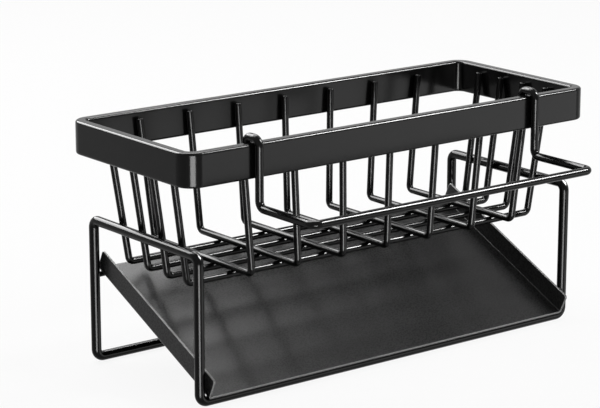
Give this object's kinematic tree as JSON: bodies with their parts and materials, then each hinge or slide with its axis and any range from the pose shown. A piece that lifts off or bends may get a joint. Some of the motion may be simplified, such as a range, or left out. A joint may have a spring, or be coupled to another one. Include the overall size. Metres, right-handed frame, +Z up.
{
  "type": "sponge holder",
  "caption": "Wire sponge basket with a flat band rim, standing in a bent wire stand over a sloping drip tray, with a hook-on towel rail in front.",
  "frame": {"origin": "on the counter, under the middle of the basket's rim", "axes": "+X to the right along the rim, +Y to the back, away from the towel rail, +Z up"},
  "size_m": [0.23, 0.1307, 0.1164],
  "materials": {
    "rim_paint": "satin black powder coat",
    "basket_paint": "gloss black coat",
    "stand_paint": "gloss black coat",
    "tray_paint": "satin black powder coat",
    "towel_rail_paint": "gloss black coat"
  },
  "bodies": {
    "stand": {"stand_frame": "stand_paint", "tray_bar": "stand_paint"},
    "basket": {"rim_band": "rim_paint", "cross_wire_1": "basket_paint", "cross_wire_2": "basket_paint", "cross_wire_3": "basket_paint", "cross_wire_4": "basket_paint", "cross_wire_5": "basket_paint", "cross_wire_6": "basket_paint", "cross_wire_7": "basket_paint", "long_wire_1": "basket_paint", "long_wire_2": "basket_paint", "long_wire_3": "basket_paint", "long_wire_4": "basket_paint"},
    "towel_rail": {"towel_rail": "towel_rail_paint"},
    "drip_tray": {"drip_tray": "tray_paint"}
  },
  "joints": [
    {"name": "basket_lift", "type": "slide", "parent": "stand", "child": "basket", "axis": [0, 0, 1], "range_m": [0, 0.08]},
    {"name": "towel_rail_lift", "type": "slide", "parent": "basket", "child": "towel_rail", "axis": [0, 0, 1], "range_m": [0, 0.03]},
    {"name": "tray_lift", "type": "slide", "parent": "stand", "child": "drip_tray", "axis": [0, 0, 1], "range_m": [0, 0.005]}
  ]
}
